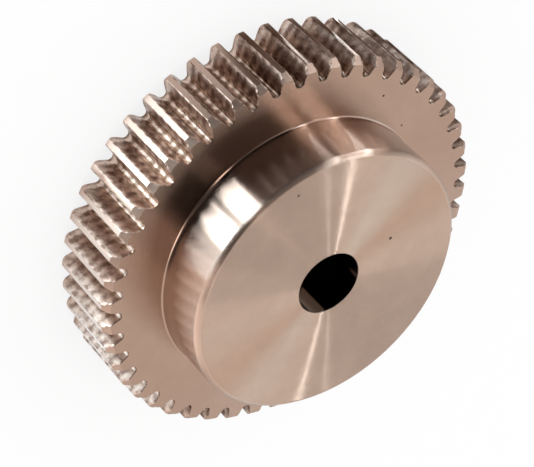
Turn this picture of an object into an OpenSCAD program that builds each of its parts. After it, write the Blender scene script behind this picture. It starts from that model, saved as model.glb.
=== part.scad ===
// Spur gear wheel, turned and hobbed from one piece of steel: a toothed rim, a large
// round hub on its front and a plain bore through both. It lies on the rim's back face,
// with its axis on Z, the hub upward and the middle of one tooth on +X. Millimetres.

/* [Teeth] */
// Number of teeth around the rim
teeth = 48; // [40:4:64]
// Module: the pitch diameter divided by the number of teeth
tooth_module = 2; // [2, 2.25, 2.5, 3]
// Pressure angle of the involute flanks, in degrees
pressure_angle = 20; // [18:0.5:22]
// Height of a tooth above the pitch circle, in modules
addendum = 1; // [0.8:0.05:1.1]
// Depth of a tooth below the pitch circle, in modules
dedendum = 1.25; // [1.15:0.05:1.35]
// Thinning of each tooth at the pitch circle, which lets a mating gear run free
backlash = 0.1; // [0:0.05:0.3]
// Radius that eases the two long corners at the top of a tooth
tip_ease = 0.3; // [0.1:0.05:0.4]

/* [Rim] */
// Width of the toothed rim, from the back face to the face around the hub
face_width = 20; // [12:0.5:30]
// Chamfer turned on the rim's front edge, across the ends of the teeth
front_chamfer = 1.6; // [0.4:0.1:2.2]
// Chamfer turned on the rim's back edge
back_chamfer = 0.8; // [0.2:0.1:2.2]

/* [Hub] */
// Diameter of the hub
hub_diameter = 70; // [40:0.5:72]
// Height of the hub above the rim's front face
hub_length = 14.5; // [6:0.5:30]
// Chamfer on the hub's front edge
hub_chamfer = 1.1; // [0.3:0.1:3]
// Radius left by the turning tool in the corner between the rim and the hub
base_fillet = 0.4; // [0.2:0.1:2]

/* [Bore] */
// Diameter of the plain bore for the shaft
bore_diameter = 16; // [8:0.5:28]

/* [Hidden] */

steel = "#b3a090";
flank_steps = 6;
root_steps = 5;
ease_steps = 3;
// Angle at which the eased corner meets the top of the tooth, in degrees
ease_break = 12;
// How far each cutter passes the surface that it cuts
overrun = 1;

pitch_r = teeth * tooth_module / 2;
base_r = pitch_r * cos(pressure_angle);
tip_r = pitch_r + addendum * tooth_module;
root_r = pitch_r - dedendum * tooth_module;
hub_r = hub_diameter / 2;
bore_r = bore_diameter / 2;
full_height = face_width + hub_length;

function degrees(radians) = radians * 180 / PI;

// Involute function of a pressure angle, in degrees
function inv(angle) = degrees(tan(angle)) - angle;

// Pressure angle of the flank where it crosses a radius
function pressure_at(radius) = acos(base_r / radius);

function polar(radius, angle) = radius * [cos(angle), sin(angle)];

// Half the gap's angle on the base circle, where the involute begins
gap_half = 90 / teeth + degrees(backlash / 2 / pitch_r) - inv(pressure_angle);

// Point of the flank where the generating line has rolled by an angle off the base circle
function flank_point(roll) =
    let (foot = gap_half + roll)
    polar(base_r, foot) + polar(base_r * roll * PI / 180, foot - 90);

// Room left between the flanks for a round root of radius r: it is 0 where the circle,
// whose lowest point is on the root circle, touches both flanks
function root_room(r) = inv(pressure_at(root_r + r)) + gap_half - degrees(r / base_r);

// Radius of that circle, halving the interval that holds it
function root_fit(low, high, halvings) =
    let (middle = (low + high) / 2)
    halvings == 0 ? middle :
    root_room(middle) > 0 ? root_fit(middle, high, halvings - 1) :
    root_fit(low, middle, halvings - 1);

root_arc_r = root_fit(0, tooth_module, 30);
root_centre_r = root_r + root_arc_r;
// The circle touches the flank at this pressure angle of its centre
root_touch = pressure_at(root_centre_r);
flank_low = root_touch - gap_half;

ease_centre_r = tip_r - tip_ease;
ease_foot = gap_half + degrees(tip_ease / base_r + tan(pressure_at(ease_centre_r)));
ease_centre = polar(ease_centre_r, ease_foot - pressure_at(ease_centre_r));
ease_end = ease_foot - pressure_at(ease_centre_r) - ease_break;
flank_high = ease_foot - gap_half;

// One side of a tooth gap, from its mouth down to the root, about the gap's middle on +X
root_side = [for (i = [root_steps - 1 : -1 : 0])
    [root_centre_r, 0] + polar(root_arc_r, 90 + root_touch + (90 - root_touch) * i / root_steps)];
flank_side = [for (i = [1 : flank_steps - 1])
    flank_point(flank_low + (flank_high - flank_low) * i / flank_steps)];
ease_side = [for (i = [0 : ease_steps])
    ease_centre + polar(tip_ease, ease_foot - 90 + (ease_end - ease_foot + 90) * i / ease_steps)];
mouth = ease_side[ease_steps] + polar(tip_ease, ease_end + 90);
mouth_angle = atan2(mouth.y, mouth.x);
gap_side = concat([[root_r, 0]], root_side, flank_side, ease_side,
    [mouth, polar(tip_r + overrun, mouth_angle)]);

// The whole gap: that side, and its mirror image run backwards to the root again
gap_outline = concat(gap_side,
    [for (i = [len(gap_side) - 1 : -1 : 1]) [gap_side[i].x, -gap_side[i].y]]);

// Half of the turned blank's section, with the tool's radius in the hub's inner corner
module blank_section() {
    difference() {
        polygon([
            [bore_r, 0],
            [tip_r - back_chamfer, 0],
            [tip_r, back_chamfer],
            [tip_r, face_width - front_chamfer],
            [tip_r - front_chamfer, face_width],
            [hub_r + base_fillet, face_width],
            [hub_r, face_width + base_fillet],
            [hub_r, full_height - hub_chamfer],
            [hub_r - hub_chamfer, full_height],
            [bore_r, full_height],
        ]);
        translate([hub_r + base_fillet, face_width + base_fillet])
            circle(base_fillet, $fn = 64);
    }
}

module blank() {
    rotate_extrude($fn = 192) blank_section();
}

// What the hob takes out between two teeth, right through the rim
module tooth_gap() {
    translate([0, 0, -overrun])
        linear_extrude(height = face_width + 2 * overrun) polygon(gap_outline);
}

module gear_wheel() {
    color(steel)
        difference() {
            blank();
            for (i = [0 : teeth - 1])
                rotate((i + 0.5) * 360 / teeth) tooth_gap();
        }
}

gear_wheel();
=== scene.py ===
# %% [markdown]
# # A gear wheel, turned and hobbed from one steel blank
#
# The real wheel is one piece of steel. A lathe turns the blank: the rim, the large hub in
# front of it and the bore. A hob, which is a worm-shaped cutter, then rolls with the blank
# and cuts the 48 teeth. Everything that the eye reads as "machined steel" comes from those
# two steps: rings on the turned faces, and a row of shallow scallops along each tooth.
#
# The imported CAD model is loaded first. It fixes the size and the place of the wheel, and its box is
# kept.

# %% Load the imported model as the frame
import math
import bpy
import numpy as np
from mathutils import Matrix, Vector


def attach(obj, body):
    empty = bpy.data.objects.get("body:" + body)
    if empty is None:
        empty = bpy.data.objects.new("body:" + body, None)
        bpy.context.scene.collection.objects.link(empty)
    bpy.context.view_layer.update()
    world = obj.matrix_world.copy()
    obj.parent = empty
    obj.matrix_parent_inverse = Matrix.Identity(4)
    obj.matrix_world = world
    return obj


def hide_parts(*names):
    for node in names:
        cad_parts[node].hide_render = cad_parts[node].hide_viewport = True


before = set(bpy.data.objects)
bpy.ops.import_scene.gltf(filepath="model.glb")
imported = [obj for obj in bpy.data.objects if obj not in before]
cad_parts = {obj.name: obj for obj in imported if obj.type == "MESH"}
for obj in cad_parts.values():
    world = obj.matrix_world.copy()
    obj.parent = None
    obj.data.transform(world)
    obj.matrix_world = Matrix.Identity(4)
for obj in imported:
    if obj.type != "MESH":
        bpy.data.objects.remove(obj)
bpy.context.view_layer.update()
scene = bpy.context.scene
scene.view_settings.view_transform = "Standard"
print("CAD nodes:", sorted(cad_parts))

# %% [markdown]
# ## Sizes
#
# The wheel could be described by hundreds of points. A gear is better described by the few
# numbers that its maker has on the drawing: the module (pitch diameter over teeth), the
# pressure angle, and the turned diameters and lengths. They are the same as in the CAD
# source, in millimetres, and everything below is worked out from them.

# %% Sizes from the drawing
TEETH = 48
MODULE = 2.0
PRESSURE_ANGLE = math.radians(20)
BACKLASH = 0.1
DEDENDUM = 1.25 * MODULE
TIP_EASE = 0.3  # radius on the two long corners of each tooth
EASE_BREAK = math.radians(12)  # the angle at which that radius meets the tooth's top
FACE_WIDTH = 20.0
FRONT_CHAMFER = 1.6
BACK_CHAMFER = 0.8
HUB_RADIUS = 35.0
HUB_LENGTH = 14.5
HUB_CHAMFER = 1.1
BASE_FILLET = 0.4
BORE_RADIUS = 8.0
EDGE_BREAK = 0.12  # what a file or a brush takes off a sharp edge

pitch_r = TEETH * MODULE / 2
base_r = pitch_r * math.cos(PRESSURE_ANGLE)
tip_r = pitch_r + MODULE
root_r = pitch_r - DEDENDUM
full_height = FACE_WIDTH + HUB_LENGTH
print(f"radii in mm: pitch {pitch_r}, base {base_r:.3f}, tip {tip_r}, root {root_r}")
print(f"height {full_height} mm")

# %% [markdown]
# ## The outline of one tooth gap
#
# A tooth flank looks like a plain curve, and an arc would pass at a glance. The real one is
# an involute: the path of the end of a taut string unwound from the base circle. It costs
# one line, so the real curve is used. At the bottom of the gap, one round arc touches both
# flanks and the root circle, as a full-radius hob leaves it.

# %% The involute, and the round root that fits between two flanks
def polar(radius, angle):
    """Points at a radius and an angle from the axis."""
    return np.stack(np.broadcast_arrays(radius * np.cos(angle), radius * np.sin(angle)), -1)


def involute(angle):
    """How far an involute has turned where it leans by an angle: tan(angle) - angle."""
    return math.tan(angle) - angle


def lean_at(radius):
    """Lean of the flank where it crosses a radius: arccos(base radius / radius)."""
    return math.acos(base_r / radius)


gap_half = math.pi / (2 * TEETH) + BACKLASH / 2 / pitch_r - involute(PRESSURE_ANGLE)


def root_room(arc_r):
    """Room left beside a round root of that radius: 0 where the arc touches both flanks, and
    involute(lean) + half the gap's angle - arc radius / base radius elsewhere."""
    return involute(lean_at(root_r + arc_r)) + gap_half - arc_r / base_r


low, high = 0.0, MODULE
for _ in range(40):
    middle = (low + high) / 2
    low, high = (middle, high) if root_room(middle) > 0 else (low, middle)
root_arc_r = low
print(f"the round root's radius is {root_arc_r:.3f} mm")


# %% One gap, from the middle of its root to the top of the tooth
# How much of the hob's feed marks a point takes: all in the root, less on the flank, and ever
# less over the eased corner, down to none on the tooth's top.
ON_FLANK = 0.6
ON_EASE = [0.5, 0.3, 0.1, 0.0]


def half_gap(root_steps=4, flank_steps=5, ease_steps=3):
    """Root arc, then involute, then the arc that eases the tooth's long corner, and each point's
    share of the feed marks. A flank point is the base circle's point at an angle, plus the
    string's length (base radius times roll) at a right angle to it."""
    touch = lean_at(root_r + root_arc_r)
    turn = np.linspace(math.pi, math.pi / 2 + touch, root_steps + 1)
    root = np.array([root_r + root_arc_r, 0.0]) + polar(root_arc_r, turn)
    ease_centre_r = tip_r - TIP_EASE
    ease_lean = lean_at(ease_centre_r)
    foot = gap_half + TIP_EASE / base_r + math.tan(ease_lean)
    roll = np.linspace(touch - gap_half, foot - gap_half, flank_steps + 1)[1:-1]
    flank = polar(base_r, gap_half + roll) + polar(base_r * roll, gap_half + roll - math.pi / 2)
    turn = np.linspace(foot - math.pi / 2, foot - ease_lean - EASE_BREAK, ease_steps + 1)
    ease = polar(ease_centre_r, foot - ease_lean) + polar(TIP_EASE, turn)
    gap_left = (tip_r - np.linalg.norm(ease[-1])) / math.sin(EASE_BREAK)
    mouth = ease[-1:] + polar(gap_left, turn[-1] + math.pi / 2)
    points = np.concatenate([root, flank, ease, mouth])
    return points, np.concatenate([np.ones(len(root)), np.full(len(flank), ON_FLANK), ON_EASE, [0.0]])


side, side_share = half_gap()
print(len(side), "points from the root's middle to the tooth's top at", np.round(side[-1], 3))


# %% The closed outline of all 48 teeth
def gear_outline(land_points=3):
    """One pitch is the half gap mirrored, the half gap, and the land up to the next gap. It is
    carried round by the pitch angle. Returns radius, angle (rising, not wrapped), the share of
    feed marks, and whether the piece of outline after each point is land."""
    pitch_angle = 2 * math.pi / TEETH
    mirrored = side[:0:-1] * [1, -1]
    mouth = math.atan2(side[-1, 1], side[-1, 0])
    land = polar(tip_r, np.linspace(mouth, pitch_angle - mouth, land_points + 2)[1:-1])
    pitch = np.concatenate([mirrored, side, land])
    share = np.concatenate([side_share[:0:-1], side_share, np.zeros(land_points)])
    is_land = np.arange(len(pitch)) >= len(pitch) - land_points - 1
    radius = np.hypot(pitch[:, 0], pitch[:, 1])
    angle = np.arctan2(pitch[:, 1], pitch[:, 0])
    turns = (np.arange(TEETH)[:, None] + 0.5) * pitch_angle
    return (np.tile(radius, TEETH), (turns + angle[None, :]).ravel(),
            np.tile(share, TEETH), np.tile(is_land, TEETH))


radius, angle, share, is_land = gear_outline()
print(len(radius), "points around; the angle rises all the way:", bool(np.all(np.diff(angle) > 0)))

# %% [markdown]
# ## The hobbed teeth
#
# While the blank turns once, the hob moves along the axis by its feed, about 2.9 mm here, and each
# pass leaves a shallow hollow. Seven of them along a 20 mm rim are the dotted bright lines in the
# roots. They could be painted as bump, but they catch the light by their real slope, so they are put
# into the surface. The roots' tone also turns lighter and darker with each pass, so the dots are
# partly painted highlight and shade as well. The last 1.6 mm at the front are turned away at 45
# degrees, so the outline is simply cut back to a cone there.

# %% Rows of points up the teeth
PASSES = 7
FEED = FACE_WIDTH / PASSES
# A real feed mark is about 0.02 mm deep. It is drawn 0.1 mm deep, so that it shows at this size.
FEED_DEPTH = 0.1


def feed_marks(z, angle):
    """How much the hob leaves standing at a height: the marks' depth x (2 x / feed) squared,
    where x is the distance to the middle of the pass. So each pass is a hollow with a ridge at
    either end. The passes climb by one feed in a full turn of the wheel."""
    phase = (z / FEED - angle / (2 * math.pi)) % 1.0 - 0.5
    return FEED_DEPTH * (2 * phase) ** 2


def tooth_rows():
    """Heights of the rows, and the radius of the turned blank at each of them, which falls by as
    much as the height goes into a chamfer. About six rows to a feed mark are enough for its
    curve."""
    back = np.array([0.0, EDGE_BREAK, 0.3, 0.55])
    middle = np.linspace(BACK_CHAMFER, FACE_WIDTH - FRONT_CHAMFER, 37)
    front = FACE_WIDTH - FRONT_CHAMFER * np.array([0.84, 0.68, 0.52, 0.36, 0.2])
    front = np.concatenate([front, [FACE_WIDTH - EDGE_BREAK, FACE_WIDTH]])
    z = np.concatenate([back, middle, front])
    blank = np.minimum(tip_r, tip_r - BACK_CHAMFER + z)
    return z, np.minimum(blank, tip_r - FRONT_CHAMFER + FACE_WIDTH - z)


row_z, row_blank = tooth_rows()
print(len(row_z), "rows of", len(radius), "points")


# %% The toothed surface as one grid
def toothed_grid():
    """Every point is the outline, moved along its normal by the feed marks (and inward by the
    broken edge on the first and last row), then cut back to the turned blank's radius."""
    flat = polar(radius, angle)
    along = np.roll(flat, -1, 0) - np.roll(flat, 1, 0)
    along /= np.linalg.norm(along, axis=1, keepdims=True)
    outward = np.stack([along[:, 1], -along[:, 0]], -1)
    lift = share * feed_marks(row_z[:, None], angle[None, :])
    lift[[0, -1]] -= EDGE_BREAK
    points = flat + lift[..., None] * outward
    reach = np.linalg.norm(points, axis=2, keepdims=True)
    cut = np.minimum(1, row_blank[:, None, None] / reach)
    z = np.broadcast_to(row_z[:, None, None], reach.shape)
    return np.concatenate([points * cut, z], 2), cut[..., 0] < 1 - 1e-9


toothed, on_chamfer = toothed_grid()
print("toothed grid", toothed.shape, "points on the chamfers:", int(on_chamfer.sum()))

# %% [markdown]
# ## The turned surfaces
#
# The rest of the wheel is what a lathe makes: one section turned around the axis. The
# section runs from the teeth over the rim's face, through the tool's corner radius, up the
# hub, over its chamfer and face, down the bore and out over the back. It needs far fewer
# points around than the teeth do, so a ring of triangles joins the two, on the flat faces
# where such a ring can't be seen.

# %% Sections of the turned surfaces
def arc(centre, radius, start, end, steps):
    """Points on an arc of the section, by angle in degrees."""
    turn = np.radians(np.linspace(start, end, steps))
    return np.array(centre) + radius * np.stack([np.cos(turn), np.sin(turn)], -1)


RING_R = 42.0  # the rings join here, well inside the roots, so that no triangle folds over
GUARD = 0.3  # a row this close to each corner keeps the corner's shading off the flat beside it
SOFT = 0.12  # the small round that turning leaves where the chamfer meets its neighbours
hub_top = full_height - HUB_CHAMFER
face_r = HUB_RADIUS - HUB_CHAMFER
fillet = arc([HUB_RADIUS + BASE_FILLET, FACE_WIDTH + BASE_FILLET], BASE_FILLET, 270, 180, 6)
front_section = np.concatenate([
    [[r, FACE_WIDTH] for r in (RING_R, 39.5, 37.0, HUB_RADIUS + BASE_FILLET + GUARD)],
    fillet,
    [[HUB_RADIUS, z] for z in (FACE_WIDTH + BASE_FILLET + GUARD, FACE_WIDTH + 5, FACE_WIDTH + 9)],
    [[HUB_RADIUS, hub_top - SOFT - GUARD], [HUB_RADIUS, hub_top - SOFT]],
    [[HUB_RADIUS - d, hub_top + d]
     for d in (0.7 * SOFT, 0.5 * HUB_CHAMFER, HUB_CHAMFER - 0.7 * SOFT)],
    [[r, full_height] for r in (face_r - SOFT, face_r - SOFT - GUARD, 30, 26, 22, 18, 14, 11)],
    [[BORE_RADIUS + EDGE_BREAK, full_height], [BORE_RADIUS, full_height - EDGE_BREAK]],
    [[BORE_RADIUS, z] for z in (27, 20, 13, 6, 0.3)],
    [[r, 0] for r in (BORE_RADIUS + 0.3, 14, 21, 28, 35, RING_R)],
])
print(len(front_section), "points in the turned section")


# %% Turning a section, and joining two rings of different counts
AROUND = 384


def turned_grid(section):
    """Each point of the section goes round the axis: x = r cos a, y = r sin a."""
    turn = np.arange(AROUND) * 2 * math.pi / AROUND
    flat = section[:, None, :1] * np.stack([np.cos(turn), np.sin(turn)], -1)[None]
    z = np.broadcast_to(section[:, None, 1:], flat.shape[:2] + (1,))
    return np.concatenate([flat, z], 2)


def grid_faces(rows, columns, first):
    """Quads between neighbouring rows and columns, closed around, wound to face outward."""
    row, column = np.meshgrid(np.arange(rows - 1), np.arange(columns), indexing="ij")
    row, column = row.ravel(), column.ravel()
    after = (column + 1) % columns
    low, high = first + row * columns, first + (row + 1) * columns
    return np.stack([low + column, low + after, high + after, high + column], -1), row, column


def joining_ring(fine_first, coarse_first, fine_angle):
    """Triangles from each fine edge to the coarse point at the same angle, which is number
    angle x AROUND / 2 pi, rounded, and one more triangle wherever that number changes. Returns
    both sets and the largest change."""
    count = len(fine_angle)
    nearest = np.floor(fine_angle / (2 * math.pi) * AROUND + 0.5).astype(int)
    fine = np.arange(count)
    after = (fine + 1) % count
    near, near_after = nearest % AROUND, nearest[after] % AROUND
    base = np.stack([fine_first + fine, fine_first + after, coarse_first + near], -1)
    extra = np.stack([fine_first + after, coarse_first + near_after, coarse_first + near], -1)
    steps = (near_after - near) % AROUND
    return base, extra[steps > 0], int(steps.max())


turned = turned_grid(front_section)
print("turned grid", turned.shape)


# %% [markdown]
# ## Putting the surface together
#
# The toothed grid and the turned grid are joined at the front and at the back, so the wheel
# is one closed skin with no seam. Each face is told how it was cut: faced (the flats), turned
# (the hub's side and the tooth tops), chamfered, hobbed (flanks and roots) or bored. A UV map
# called "turning" stores the way around the wheel and the way across the cut, both in
# millimetres, because the tool's fine rings run around and the light stretches across them.

# %% Join the grids and say how each face was cut
FACED, TURNED, HOBBED, BORED, RIM, CHAMFERED, ROOT, EASED = range(8)
toothed_count = toothed.shape[0] * toothed.shape[1]
points = np.concatenate([toothed.reshape(-1, 3), turned.reshape(-1, 3)])
tooth_quads, _, tooth_column = grid_faces(*toothed.shape[:2], 0)
turn_quads, turn_row, _ = grid_faces(*turned.shape[:2], toothed_count)
front_fine = toothed_count - len(radius)
back_coarse = toothed_count + (len(front_section) - 1) * AROUND
front_ring = joining_ring(front_fine, toothed_count, angle)
back_ring = joining_ring(0, back_coarse, angle)
print("coarse steps skipped in a join:", front_ring[-1] - 1, back_ring[-1] - 1)

cut_back = on_chamfer.ravel()[tooth_quads].any(1)
in_root = (share > 0.99) & (np.roll(share, -1) > 0.99)
tooth_cut = np.where(in_root[tooth_column], ROOT, HOBBED)
tooth_cut[is_land[tooth_column]] = TURNED
tooth_cut[cut_back] = CHAMFERED

# The turned section's steps, each by the points that it starts and ends at, with a hair's margin
HAIR = 0.01
starts, ends = front_section[:-1], front_section[1:]
climb = np.abs(ends - starts)[:, 1]
section_cut = np.where(climb < HAIR, FACED, TURNED)
section_cut[(ends[:, 0] < BORE_RADIUS + HAIR) & (climb > HAIR)] = BORED
section_cut[(ends[:, 1] > hub_top - HAIR) & (starts[:, 0] > face_r + HAIR)] = EASED
section_cut[(section_cut == FACED) & (ends[:, 1] < FACE_WIDTH + HAIR)] = RIM

# The back ring is wound the other way round, because it faces down
triangles = np.concatenate([*front_ring[:2], back_ring[0][:, ::-1], back_ring[1][:, ::-1]])
quads = np.concatenate([tooth_quads, turn_quads])
cut = np.concatenate([tooth_cut, section_cut[turn_row], np.full(len(triangles), RIM)])
print(len(points), "points,", len(quads) * 2 + len(triangles), "triangles")


# %% The turning map: around the wheel, and across the cut
def turning_uv(corners, flat):
    """u is the angle times the tip radius, unwrapped within each face; v is the radius on a flat
    face and the height on any other. Returned corner by corner, as Blender stores them."""
    place = points[corners]
    u = np.arctan2(place[..., 1], place[..., 0])
    u = u[:, :1] + (u - u[:, :1] + math.pi) % (2 * math.pi) - math.pi
    v = np.where(flat[:, None], np.hypot(place[..., 0], place[..., 1]), place[..., 2])
    return np.stack([u * tip_r, v], -1).reshape(-1, 2)


uv = np.concatenate([turning_uv(quads, np.isin(cut[:len(quads)], (FACED, RIM))),
                     turning_uv(triangles, np.full(len(triangles), True))])
print("turning map", uv.shape, "from", uv.min(0).round(1), "to", uv.max(0).round(1))


# %% The wheel's mesh
def add_mesh(name, points_mm, faces, uv=None):
    """A mesh object from points in millimetres and faces, at the origin, smooth but for its sharp
    edges."""
    mesh = bpy.data.meshes.new(name)
    mesh.from_pydata(np.asarray(points_mm) * 0.001, [], faces)
    if uv is not None:
        mesh.uv_layers.new(name="turning").data.foreach_set("uv", uv.ravel())
    mesh.shade_smooth()
    mesh.set_sharp_from_angle(angle=math.radians(30))
    piece = bpy.data.objects.new(name, mesh)
    scene.collection.objects.link(piece)
    return piece


wheel = add_mesh("gear_wheel_dressed", points, quads.tolist() + triangles.tolist(), uv)
wheel.data.polygons.foreach_set("material_index", cut.astype(np.int32))
print("bad geometry found and mended:", wheel.data.validate())

# %% [markdown]
# ## Steel, as each tool leaves it
# The colours differ from cut to cut as well, and those differences are painted light and shade:
# lighter on the chamfers, light and dark by turns in the roots, darker on the rim, the flanks and the
# bore.
#
# All the surfaces are the same bare carbon steel under a trace of oil. What the eye sees is
# how each was cut. A turning tool leaves grooves a few hundredths of a millimetre apart: too
# fine to see, but they spread the light across themselves, so a lamp becomes a bright wedge
# on a flat face and a bright bar along a cylinder. An anisotropic metal does just that, with
# its tangent along the grooves. The photograph is toned brown, and the steel follows it.
#
# A blurred metal fades out slowly, and would fill the near-black at the hub's foot with grey.
# A real groove doesn't: it is the arc of a round tool nose, so its slopes run evenly between
# two limits and then stop. The normal is therefore leaned across the grooves by just such a
# spread of slopes, over a well polished metal. Seen from here the grooves melt together, and
# the light is spread as far as the steepest slope sends it, and no farther.

# %% Colour, and one helper that adds a node
def linear(hex_colour):
    """A colour written as sRGB hex, as linear values for a shader."""
    srgb = np.array([int(hex_colour[i:i + 2], 16) for i in (1, 3, 5)]) / 255
    return (*np.where(srgb <= 0.04045, srgb / 12.92, ((srgb + 0.055) / 1.055) ** 2.4), 1.0)


def add_node(tree, kind, settings=None, **inputs):
    """Adds a node. Settings are its properties; inputs are values or sockets, by the input's name
    with _ for a space, or by its number after an n."""
    node = tree.nodes.new(kind)
    for name, value in (settings or {}).items():
        setattr(node, name, value)
    for name, value in inputs.items():
        socket = node.inputs[int(name[1:]) if name[1:].isdigit() else name.replace("_", " ")]
        if isinstance(value, bpy.types.NodeSocket):
            tree.links.new(value, socket)
        else:
            socket.default_value = value
    return node


def new_material(name):
    """A material with only its output, and the tree to build in."""
    material = bpy.data.materials.new(name)
    material.use_nodes = True
    material.node_tree.nodes.clear()
    return material, material.node_tree, material.node_tree.nodes.new("ShaderNodeOutputMaterial")


# %% The finish of a turned cut
# Small dark pits in the flat faces: x, y, height and radius in mm.
HUB_PITS = ((-17.2, 4.1, 34.5, 0.42), (-8.5, -29.4, 34.5, 0.32), (-14.8, -27.8, 34.5, 0.2))
RIM_PITS = ((-38.3, -16.2, 20.0, 0.3), (-37.2, -4.3, 20.0, 0.25))
PIT_COLOUR = "#4a3930"

# Patterns on object coordinates are counted per metre, those on the turning map per mm.
DRIFT = 90.0  # 11 mm: the patches where the oil is thicker, and the slow wave of a turned side
RINGS = 2.5  # 0.4 mm: rings of slightly other polish
RING_STRETCH = 0.02  # they change 50 times more slowly around the wheel
RING_DEPTH = 0.000002  # m: 2 thousandths of a millimetre, a fine cut's roughness
GROOVES = 10.0  # 0.1 mm: the feed grooves. Real ones are finer, and neither can be seen singly.
POLISH_SPREAD = 0.04  # how far the roughness of one ring departs from the mean


def turned_steel(name, light, dark, roughness, groove, wave=0.0, pits=()):
    """Rings of slightly different height and polish, drawn from noise stretched around the wheel,
    over a slow drift of tone from the oil. Across each feed groove, which is the arc of a round
    tool nose, the slope runs evenly from -groove to +groove, so the normal leans by
    groove x (2 x (across / feed mod 1) - 1) away from the axis or toward it. A wave, in metres,
    bends the surface slowly. Each pit is a round spot about its place, quite dark to 2/3 of its
    radius and gone at 5/4 of it."""
    material, tree, output = new_material(name)
    where = add_node(tree, "ShaderNodeTexCoord")
    rings_at = add_node(tree, "ShaderNodeMapping", Vector=where.outputs["UV"],
                        Scale=(RING_STRETCH, 1.0, 1.0))
    rings = add_node(tree, "ShaderNodeTexNoise", Vector=rings_at.outputs[0], Scale=RINGS, Detail=4.0)
    drift = add_node(tree, "ShaderNodeTexNoise", Vector=where.outputs["Object"], Scale=DRIFT,
                     Detail=6.0, Roughness=0.7)
    tone = add_node(tree, "ShaderNodeMix", {"data_type": "RGBA"}, Factor=drift.outputs[0],
                    n6=linear(dark), n7=linear(light)).outputs["Result"]
    for x, y, z, radius in pits:
        away = add_node(tree, "ShaderNodeVectorMath", {"operation": "DISTANCE"},
                        n0=where.outputs["Object"], n1=(x / 1000, y / 1000, z / 1000))
        spot = add_node(tree, "ShaderNodeMapRange", {"interpolation_type": "SMOOTHSTEP"},
                        Value=away.outputs["Value"], From_Min=radius / 1500, From_Max=radius / 800,
                        To_Min=1.0, To_Max=0.0)
        tone = add_node(tree, "ShaderNodeMix", {"data_type": "RGBA"}, Factor=spot.outputs[0],
                        n6=tone, n7=linear(PIT_COLOUR)).outputs["Result"]
    polish = add_node(tree, "ShaderNodeMapRange", Value=rings.outputs[0],
                      To_Min=roughness - POLISH_SPREAD, To_Max=roughness + POLISH_SPREAD)
    slow = add_node(tree, "ShaderNodeTexNoise", Vector=where.outputs["Object"], Scale=DRIFT,
                    Detail=1.0)
    bend = add_node(tree, "ShaderNodeBump", Height=slow.outputs[0], Strength=1.0, Distance=wave)
    height = add_node(tree, "ShaderNodeBump", Height=rings.outputs[0], Strength=1.0,
                      Distance=RING_DEPTH, Normal=bend.outputs[0])
    along = add_node(tree, "ShaderNodeTangent", {"direction_type": "UV_MAP", "uv_map": "turning"})
    across = add_node(tree, "ShaderNodeVectorMath", {"operation": "CROSS_PRODUCT"},
                      n0=height.outputs[0], n1=along.outputs[0])
    way = add_node(tree, "ShaderNodeSeparateXYZ", Vector=where.outputs["UV"])
    grooves = add_node(tree, "ShaderNodeMath", {"operation": "MULTIPLY"}, n0=way.outputs[1],
                       n1=GROOVES)
    place = add_node(tree, "ShaderNodeMath", {"operation": "FRACT"}, n0=grooves.outputs[0])
    slope = add_node(tree, "ShaderNodeMapRange", Value=place.outputs[0], To_Min=-groove, To_Max=groove)
    lean = add_node(tree, "ShaderNodeVectorMath", {"operation": "SCALE"}, n0=across.outputs[0],
                    Scale=slope.outputs[0])
    leaning = add_node(tree, "ShaderNodeVectorMath", {"operation": "ADD"}, n0=height.outputs[0],
                       n1=lean.outputs[0])
    normal = add_node(tree, "ShaderNodeVectorMath", {"operation": "NORMALIZE"}, n0=leaning.outputs[0])
    steel = add_node(tree, "ShaderNodeBsdfPrincipled", Base_Color=tone, Metallic=1.0,
                     Roughness=polish.outputs[0], Anisotropic=0.5, Anisotropic_Rotation=0.25,
                     Tangent=along.outputs[0], Normal=normal.outputs[0])
    tree.links.new(steel.outputs[0], output.inputs["Surface"])
    return material


# Faced steel on the hub's front: a lathe tool crosses the turning face and leaves ring grooves.
# Each light becomes a bright wedge that points at the axis. The grooves are drawn steeper
# than real ones, so that a small picture shows the wedges.
faced_steel = turned_steel("steel_faced_bare", "#c8ad9a", "#b09584", 0.13, 0.5, pits=HUB_PITS)
# Faced steel on the rim: the same cut with a finer feed, so its grooves are flatter. It mirrors the
# hub's side as a soft dark pool. Its colour is a little darker than the hub's face: painted shade for
# the rim that lies low beside the hub.
rim_steel = turned_steel("steel_faced_rim_bare", "#bfa798", "#ab9384", 0.15, 0.16, pits=RIM_PITS)
# Turned steel on the hub's side and the tooth tops: the grooves run around, and draw each light
# out into a bar along the axis. A slight wave from the lathe makes the bars' edges waver.
turned_bar = turned_steel("steel_turned_bare", "#c4a99a", "#b59a8b", 0.12, 0.3, wave=0.00004)
# Chamfered steel across the tooth ends: an interrupted cut tears it a little. It looks matt and evenly
# tan, and its colour is lighter than the faces': painted light that keeps it tan where it mirrors the
# dark front of the room.
chamfered_steel = turned_steel("steel_chamfered_bare", "#d0b4a4", "#b89e90", 0.42, 0.3)
# Chamfered steel on the hub: an unbroken cut. It is a bright line with a hot spot for each upright
# light, and its colour is lighter than the faces': painted light that brightens the line.
eased_steel = turned_steel("steel_chamfered_hub_bare", "#dcc3b2", "#c6ac9d", 0.17, 0.5)
# Bored steel: drilled, then reamed. Its colour is far darker than the other cuts': painted shade for
# the deep bore. The light must also bounce several times to get out, so it looks nearly black.
bored_steel_painted_shade = turned_steel("steel_bored_bare", "#5e5049", "#50443d", 0.14, 0.03)


# %% The finish of a hobbed cut
FACETS = 1500.0  # 0.7 mm: torn facets
BLOTCHES = 520.0  # 2 mm: blotches of light and dark
DARK_BELOW, LIGHT_ABOVE = 0.35, 0.65  # noise keeps to its middle, so this part takes all the tones


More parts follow.
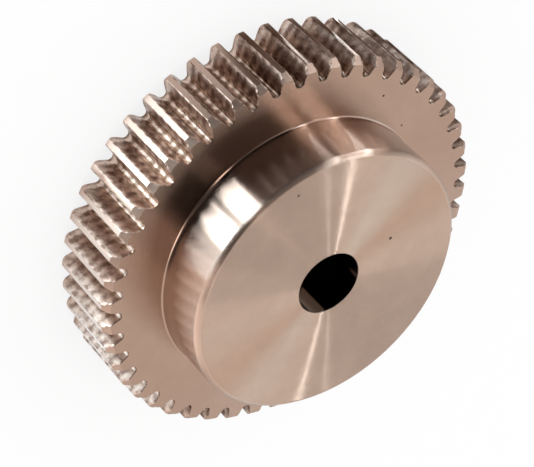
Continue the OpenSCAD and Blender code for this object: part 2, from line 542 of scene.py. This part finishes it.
def hobbed_steel(name, light, dark, smoothest, roughest, tear, marks):
    """Mottled and rougher: the hob's teeth tear short, irregular facets across each flank. The tone
    goes from dark to light with blotch - marks x cos(2 pi height / feed), so the blotches follow the
    passes of the hob by the share called marks. The blotches are the facets' random grain; the share
    called marks is painted highlight and shade, a lighter and a darker band for each pass. The tear is
    the blotches' depth in metres, and the facets are 0.4 times as deep."""
    material, tree, output = new_material(name)
    where = add_node(tree, "ShaderNodeTexCoord")
    facets = add_node(tree, "ShaderNodeTexNoise", Vector=where.outputs["Object"], Scale=FACETS,
                      Detail=3.0)
    blotch = add_node(tree, "ShaderNodeTexNoise", Vector=where.outputs["Object"], Scale=BLOTCHES,
                      Detail=3.0, Roughness=0.7)
    way = add_node(tree, "ShaderNodeSeparateXYZ", Vector=where.outputs["UV"])
    passes = add_node(tree, "ShaderNodeMath", {"operation": "MULTIPLY"}, n0=way.outputs[1],
                      n1=2 * math.pi / FEED)
    wave = add_node(tree, "ShaderNodeMath", {"operation": "COSINE"}, n0=passes.outputs[0])
    # Painted highlight and shade: the tone swings lighter and darker with each pass of the hob.
    grain_and_painted_passes = add_node(tree, "ShaderNodeMath", {"operation": "MULTIPLY_ADD"}, n0=wave.outputs[0],
                      n1=-marks, n2=blotch.outputs[0])
    contrast = add_node(tree, "ShaderNodeMapRange", Value=grain_and_painted_passes.outputs[0],
                        From_Min=DARK_BELOW, From_Max=LIGHT_ABOVE)
    tone = add_node(tree, "ShaderNodeMix", {"data_type": "RGBA"}, Factor=contrast.outputs[0],
                    n6=linear(dark), n7=linear(light))
    polish = add_node(tree, "ShaderNodeMapRange", Value=facets.outputs[0], To_Min=smoothest,
                      To_Max=roughest)
    bend = add_node(tree, "ShaderNodeBump", Height=blotch.outputs[0], Strength=1.0, Distance=tear)
    height = add_node(tree, "ShaderNodeBump", Height=facets.outputs[0], Strength=1.0,
                      Distance=tear * 0.4, Normal=bend.outputs[0])
    along = add_node(tree, "ShaderNodeTangent", {"direction_type": "UV_MAP", "uv_map": "turning"})
    steel = add_node(tree, "ShaderNodeBsdfPrincipled", Base_Color=tone.outputs["Result"], Metallic=1.0,
                     Roughness=polish.outputs[0], Anisotropic=0.3, Anisotropic_Rotation=0.25,
                     Tangent=along.outputs[0], Normal=height.outputs[0])
    tree.links.new(steel.outputs[0], output.inputs["Surface"])
    return material


# Hobbed steel on the flanks: short torn facets, which give a mottled dark and light grain, with a
# faint painted band of highlight and shade for each pass. Its tones run darker than the turned
# steel's: painted shade for the flanks down in the gaps between the teeth.
hob_cut = hobbed_steel("steel_hobbed_bare", "#d0b8aa", "#80665a", 0.24, 0.42, 0.00005, 0.07)
# Hobbed steel in the roots: the hob's tips rub it smooth. It is a bright line with a dot for each
# pass: partly the light that the real feed marks catch, and partly painted highlight and shade, as its
# tone swings strongly from dark to light with each pass.
root_cut = hobbed_steel("steel_hobbed_root_bare", "#d4bcad", "#7d6555", 0.12, 0.2, 0.00001, 0.16)

# %% Dress the wheel
# In the order of FACED, TURNED, HOBBED, BORED, RIM, CHAMFERED, ROOT, EASED
for finish in (faced_steel, turned_bar, hob_cut, bored_steel_painted_shade,
               rim_steel, chamfered_steel, root_cut, eased_steel):
    wheel.data.materials.append(finish)
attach(wheel, "root")
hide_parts("gear_wheel")
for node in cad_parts.values():
    node.data.materials.clear()
    node.data.materials.append(faced_steel)
print("finishes:", [m.name for m in wheel.data.materials])

# %% The camera
# Its place and its three directions come from the fit to the photograph, in metres.
camera_data = bpy.data.cameras.new("camera")
camera_data.sensor_width = 36.0
camera_data.lens = 166.29
camera_data.clip_start, camera_data.clip_end = 0.01, 20
camera = bpy.data.objects.new("camera", camera_data)
camera_place = Vector((0.0030176, -0.4395248, 0.3776383))
right = Vector((-0.7129612, 0.4479972, 0.5394300))
up = Vector((-0.7012014, -0.4573841, -0.5469153))
back = Vector((0.0017102, -0.7681785, 0.6402334))
turned_to = Matrix((right, up, back)).transposed().to_4x4()
camera.matrix_world = Matrix.Translation(camera_place) @ turned_to
scene.collection.objects.link(camera)
scene.camera = camera
look_down = round(math.degrees(math.asin(back.z)), 1)
print("camera", round(camera_place.length * 1000), "mm away, looking down at", look_down, "degrees")

# %% [markdown]
# ## The studio
#
# A bare metal has little colour of its own to show: it shows the room. So the room matters
# as much as the finish. The wheel lies on a white floor under a white surround. The floor
# keeps a little of the wheel's shadow, because only a share of it is drawn plain white.

# %% Floor and surround
FLOOR_REACH = 3000
corners = [[x * FLOOR_REACH, y * FLOOR_REACH, 0] for x, y in ((-1, -1), (1, -1), (1, 1), (-1, 1))]
floor = add_mesh("studio_floor", corners, [[0, 1, 2, 3]])


def white_for_camera(tree, shade, strength):
    """Mixes a shader with plain white for the rays that show a background: seen directly, in metal
    or through glass. The shadow stays, because only that share of what is seen is plain white."""
    rays = add_node(tree, "ShaderNodeLightPath")
    seen = add_node(tree, "ShaderNodeMath", {"operation": "MAXIMUM"}, n0=rays.outputs["Is Camera Ray"],
                    n1=rays.outputs["Is Glossy Ray"])
    seen = add_node(tree, "ShaderNodeMath", {"operation": "MAXIMUM"}, n0=seen.outputs[0],
                    n1=rays.outputs["Is Transmission Ray"])
    part = add_node(tree, "ShaderNodeMath", {"operation": "MULTIPLY"}, n0=seen.outputs[0], n1=strength)
    white = add_node(tree, "ShaderNodeEmission", Strength=1.0)
    return add_node(tree, "ShaderNodeMixShader", n0=part.outputs[0], n1=shade, n2=white.outputs[0])


# Seamless white paper: matt and even, with a fine fibre that only takes the edge off the white.
paper, tree, output = new_material("floor_white_paper")
grain = add_node(tree, "ShaderNodeTexNoise", Scale=900.0, Detail=2.0)
tint = add_node(tree, "ShaderNodeMix", {"data_type": "RGBA"}, Factor=grain.outputs[0],
                n6=linear("#fbfbfa"), n7=linear("#ffffff"))
matte = add_node(tree, "ShaderNodeBsdfDiffuse", Color=tint.outputs["Result"])
seen = white_for_camera(tree, matte.outputs[0], strength=0.8)
tree.links.new(seen.outputs[0], output.inputs["Surface"])
floor.data.materials.append(paper)

# The surround is the same plain white for every ray: seen directly, in the metal, or as light on
# the floor.
world = bpy.data.worlds.new("studio_surround")
scene.world = world
world.use_nodes = True
tree = world.node_tree
tree.nodes.clear()
output = tree.nodes.new("ShaderNodeOutputWorld")
air = add_node(tree, "ShaderNodeBackground", Color=(1, 1, 1, 1), Strength=1.0)
tree.links.new(air.outputs[0], output.inputs["Surface"])
print("stage:", floor.name, paper.name, world.name)


# %% [markdown]
# ## Cards instead of lamps
#
# Lamps would be the usual choice, and a lamp is right for paint or plastic. Polished steel
# shows almost nothing but mirror images, so here each light is a card, which can be given
# the shape and the place of the image that the photograph shows. A photographer of metal
# works in the same way: white cards for the light parts, black cards ("flags") for the dark.
#
# Where a card must stand follows from the mirror law. The camera looks down at 40 degrees.
# The hub's side mirrors the floor, and its place at azimuth a mirrors what stands at azimuth
# 2a + 90. The flat faces mirror the room behind the wheel, 40 degrees up. The grooves widen
# both views up and down, but not sideways.

# %% Cards
LONG, SHORT = 17, 9  # points along and across a card
card_names = []


def add_card(name, grid, tone, brightness, edge):
    """A glowing card over a grid of points, seen only in the metal. It fades out over a share of
    its size at every edge, so that it leaves no hard line in the polished cuts. The share can be
    a pair: along the grid's rows, then along its columns."""
    rows, columns = grid.shape[:2]
    row, column = np.meshgrid(np.arange(rows - 1), np.arange(columns - 1), indexing="ij")
    corner = (row * columns + column).ravel()
    faces = np.stack([corner, corner + columns, corner + columns + 1, corner + 1], -1)
    across, up = np.meshgrid(np.linspace(0, 1, columns), np.linspace(0, 1, rows))
    card = add_mesh(name, grid.reshape(-1, 3), faces.tolist(),
                    np.stack([across, up], -1).reshape(-1, 2)[faces].reshape(-1, 2))
    material, tree, output = new_material(name)
    card_map = add_node(tree, "ShaderNodeUVMap")
    spot = add_node(tree, "ShaderNodeSeparateXYZ", Vector=card_map.outputs[0])
    cover = 1.0
    for axis, fade_share in enumerate(np.broadcast_to(edge, 2).tolist()):
        from_edge = add_node(tree, "ShaderNodeMath", {"operation": "PINGPONG"},
                             n0=spot.outputs[axis], n1=0.5)
        fade = add_node(tree, "ShaderNodeMapRange", {"interpolation_type": "SMOOTHSTEP"},
                        Value=from_edge.outputs[0], From_Min=0.0, From_Max=fade_share)
        cover = add_node(tree, "ShaderNodeMath", {"operation": "MULTIPLY"}, n0=fade.outputs[0],
                         n1=cover).outputs[0]
    glow = add_node(tree, "ShaderNodeEmission", Color=linear(tone), Strength=brightness)
    clear = add_node(tree, "ShaderNodeBsdfTransparent")
    mixed = add_node(tree, "ShaderNodeMixShader", n0=cover, n1=clear.outputs[0], n2=glow.outputs[0])
    tree.links.new(mixed.outputs[0], output.inputs["Surface"])
    card.data.materials.append(material)
    card.visible_camera = card.visible_diffuse = card.visible_shadow = False
    card_names.append(name)


def wall_card(name, azimuths, elevations, tone, brightness, edge, distance):
    """A card bent round the wheel: a patch of a sphere about the rim's front, between two azimuths
    and two elevations in degrees, at a distance in mm."""
    a, e = np.radians(np.meshgrid(np.linspace(*azimuths, LONG), np.linspace(*elevations, SHORT)))
    level = np.cos(e) * distance
    grid = np.stack([np.cos(a) * level, np.sin(a) * level, np.sin(e) * distance + FACE_WIDTH], -1)
    add_card(name, grid, tone, brightness, edge)


def floor_card(name, azimuths, radii, tone, brightness, edge=0.15, height=0.4):
    """A card lying on the floor: a piece of a ring between two azimuths and two radii. Where cards
    cross, the one that lies higher, in mm, is the one seen."""
    a, r = np.meshgrid(np.radians(np.linspace(*azimuths, LONG)), np.linspace(*radii, SHORT))
    grid = np.stack([np.cos(a) * r, np.sin(a) * r, np.full_like(a, height)], -1)
    add_card(name, grid, tone, brightness, edge)


def floor_streak(name, seen_at, spread, reach, tone, brightness, edge=0.2, height=0.5):
    """A bar on the floor, just where a camera in front sees it mirrored in the hub's side at one
    azimuth: it leaves that place at azimuth 2 x azimuth + 90, by the mirror law, and widens by a
    spread in degrees, so that it looks equally wide over its whole length."""
    a = math.radians(seen_at)
    way = 2 * a + math.pi / 2
    sideways = np.radians(np.linspace(-spread / 2, spread / 2, SHORT))
    off, t = np.meshgrid(sideways, np.linspace(*reach, LONG), indexing="ij")
    off = off * t
    x = HUB_RADIUS * math.cos(a) + t * math.cos(way) - off * math.sin(way)
    y = HUB_RADIUS * math.sin(a) + t * math.sin(way) + off * math.cos(way)
    add_card(name, np.stack([x, y, np.full_like(x, height)], -1), tone, brightness, (0.01, edge))


def upright_card(name, azimuth, radii, heights, tone, brightness, edge):
    """A card that stands on edge, in a plane through the axis, between two radii and two heights."""
    out, up = np.meshgrid(np.linspace(*radii, SHORT), np.linspace(*heights, SHORT))
    turn = math.radians(azimuth)
    grid = np.stack([out * math.cos(turn), out * math.sin(turn), up], -1)
    add_card(name, grid, tone, brightness, edge)


# %% [markdown]
# ## The cards of this photograph
#
# Each card answers one thing that the photograph shows, and the comments name it. Brightness
# 1 is the white of the background. Only a small part of what a groove spreads lands on a
# narrow card, so the narrow ones are much brighter. Daylight from windows is a little cool,
# the rest of the room a little warm.

# %% The cards around and under the wheel
WARM, COOL, BLACK = "#fff4ed", "#e4f6ff", "#0c0908"
# The room above and behind the wheel: the flat faces mirror it, and take their tan from it.
wall_card("surround_top", (-180, 180), (55, 89.9), WARM, 0.12, edge=0.01, distance=1300)
wall_card("surround_top_behind", (0, 180), (55, 89), WARM, 0.4, edge=0.03, distance=1280)
wall_card("surround_behind", (-30, 190), (-1, 58), WARM, 0.92, edge=0.05, distance=1250)
wall_card("surround_left", (-190, -146), (-1, 58), WARM, 0.75, edge=0.15, distance=1200)
wall_card("bright_behind", (50, 125), (5, 30), COOL, 1.7, edge=0.25, distance=1100)
wall_card("window_behind_left", (108, 152), (22, 48), COOL, 1.35, edge=0.3, distance=1080)
# Narrow high lights: the two wedges on the hub's face. Two broad ones: the glow of its chamfer in
# front, and the tan of the chamfer across the tooth ends on the +X side.
wall_card("strip_high", (121, 153), (56.1, 57.3), COOL, 26.0, edge=0.25, distance=1060)
wall_card("strip_high_faint", (124, 161), (64.5, 66.1), COOL, 7.0, edge=0.25, distance=1060)
wall_card("light_front_high", (-135, -40), (82, 88), WARM, 6.0, edge=0.2, distance=1060)
wall_card("light_right_high", (-24, 14), (50, 70), WARM, 3.0, edge=0.2, distance=840)
# Two upright lights at the left: the bright spots on the hub's chamfer.
wall_card("strip_left", (-179, -175.2), (-1, 50), COOL, 10.0, edge=0.2, distance=1000)
wall_card("strip_left_faint", (-155.5, -152.5), (-1, 48), COOL, 9.0, edge=0.2, distance=780)
# Dark cards: the near-black at the hub's foot, and the brown at its right.
wall_card("dark_far_left", (150, 179), (-1, 42), "#77665b", 1.0, edge=0.25, distance=1040)
wall_card("dark_left", (-150, -85), (-2, 50), BLACK, 1.0, edge=0.06, distance=800)
wall_card("dark_front", (-105, -8), (-2, 80), "#100f0e", 1.0, edge=0.14, distance=850)
# Lights on the floor in front: the white patch on the hub's side and the white tooth tops. Beside
# the wheel: the hub's light ends and the flanks' light grain.
floor_card("floor_front_left", (-94, -78), (68, 600), COOL, 16.0, edge=0.1)
floor_card("floor_front_right", (-76, -59), (68, 160), COOL, 16.0, edge=0.1)
floor_card("floor_front_soft", (-82, -36), (62, 240), COOL, 4.0, height=0.35)
floor_card("floor_near", (-97, -65), (50.1, 72), COOL, 3.0, edge=0.08, height=0.42)
floor_card("floor_near_right", (-62, 6), (50.2, 90), COOL, 1.9, edge=0.1, height=0.32)
floor_card("floor_right", (-42, 20), (60, 600), WARM, 1.7, edge=0.08, height=0.3)
floor_card("floor_left", (-190, -150), (70, 600), WARM, 1.2, edge=0.08, height=0.3)
# The two bright bars along the hub's side.
floor_streak("floor_strip", -135.2, 3.4, (10, 1100), COOL, 7.0)
floor_streak("floor_strip_faint", -122.0, 3.4, (10, 1000), COOL, 3.5)
# The brown gleam low on the left of the bore: its wall there mirrors a glowing card that stands inside
# it, a painted reflection. The dark card on the floor under the bore, seen only in the metal, is
# painted shade that keeps the bore black.
upright_card("card_in_bore", 54, (6.2, 7.98), (24, 34.3), "#f0d8c4", 0.6, edge=(0.35, 0.1))
floor_card("floor_dark_bore", (-180, 180), (0, 7.9), "#303438", 1.0, edge=0.02, height=0.3)
# The shade under the teeth at the back, and the dark floor that the hub's side mirrors.
floor_card("floor_dark_near", (7, 250), (50.1, 74), "#6c5c52", 1.0, edge=0.04)
floor_card("floor_dark_far_left", (150, 178), (55, 400), "#2a201b", 1.0, height=0.45)
floor_card("floor_dark_left", (-152, -94), (50, 1500), BLACK, 1.0, edge=0.04, height=0.25)
floor_card("floor_behind", (20, 172), (55, 1500), "#b0a49c", 1.0, edge=0.05, height=0.2)
print(len(card_names), "cards:", ", ".join(card_names))
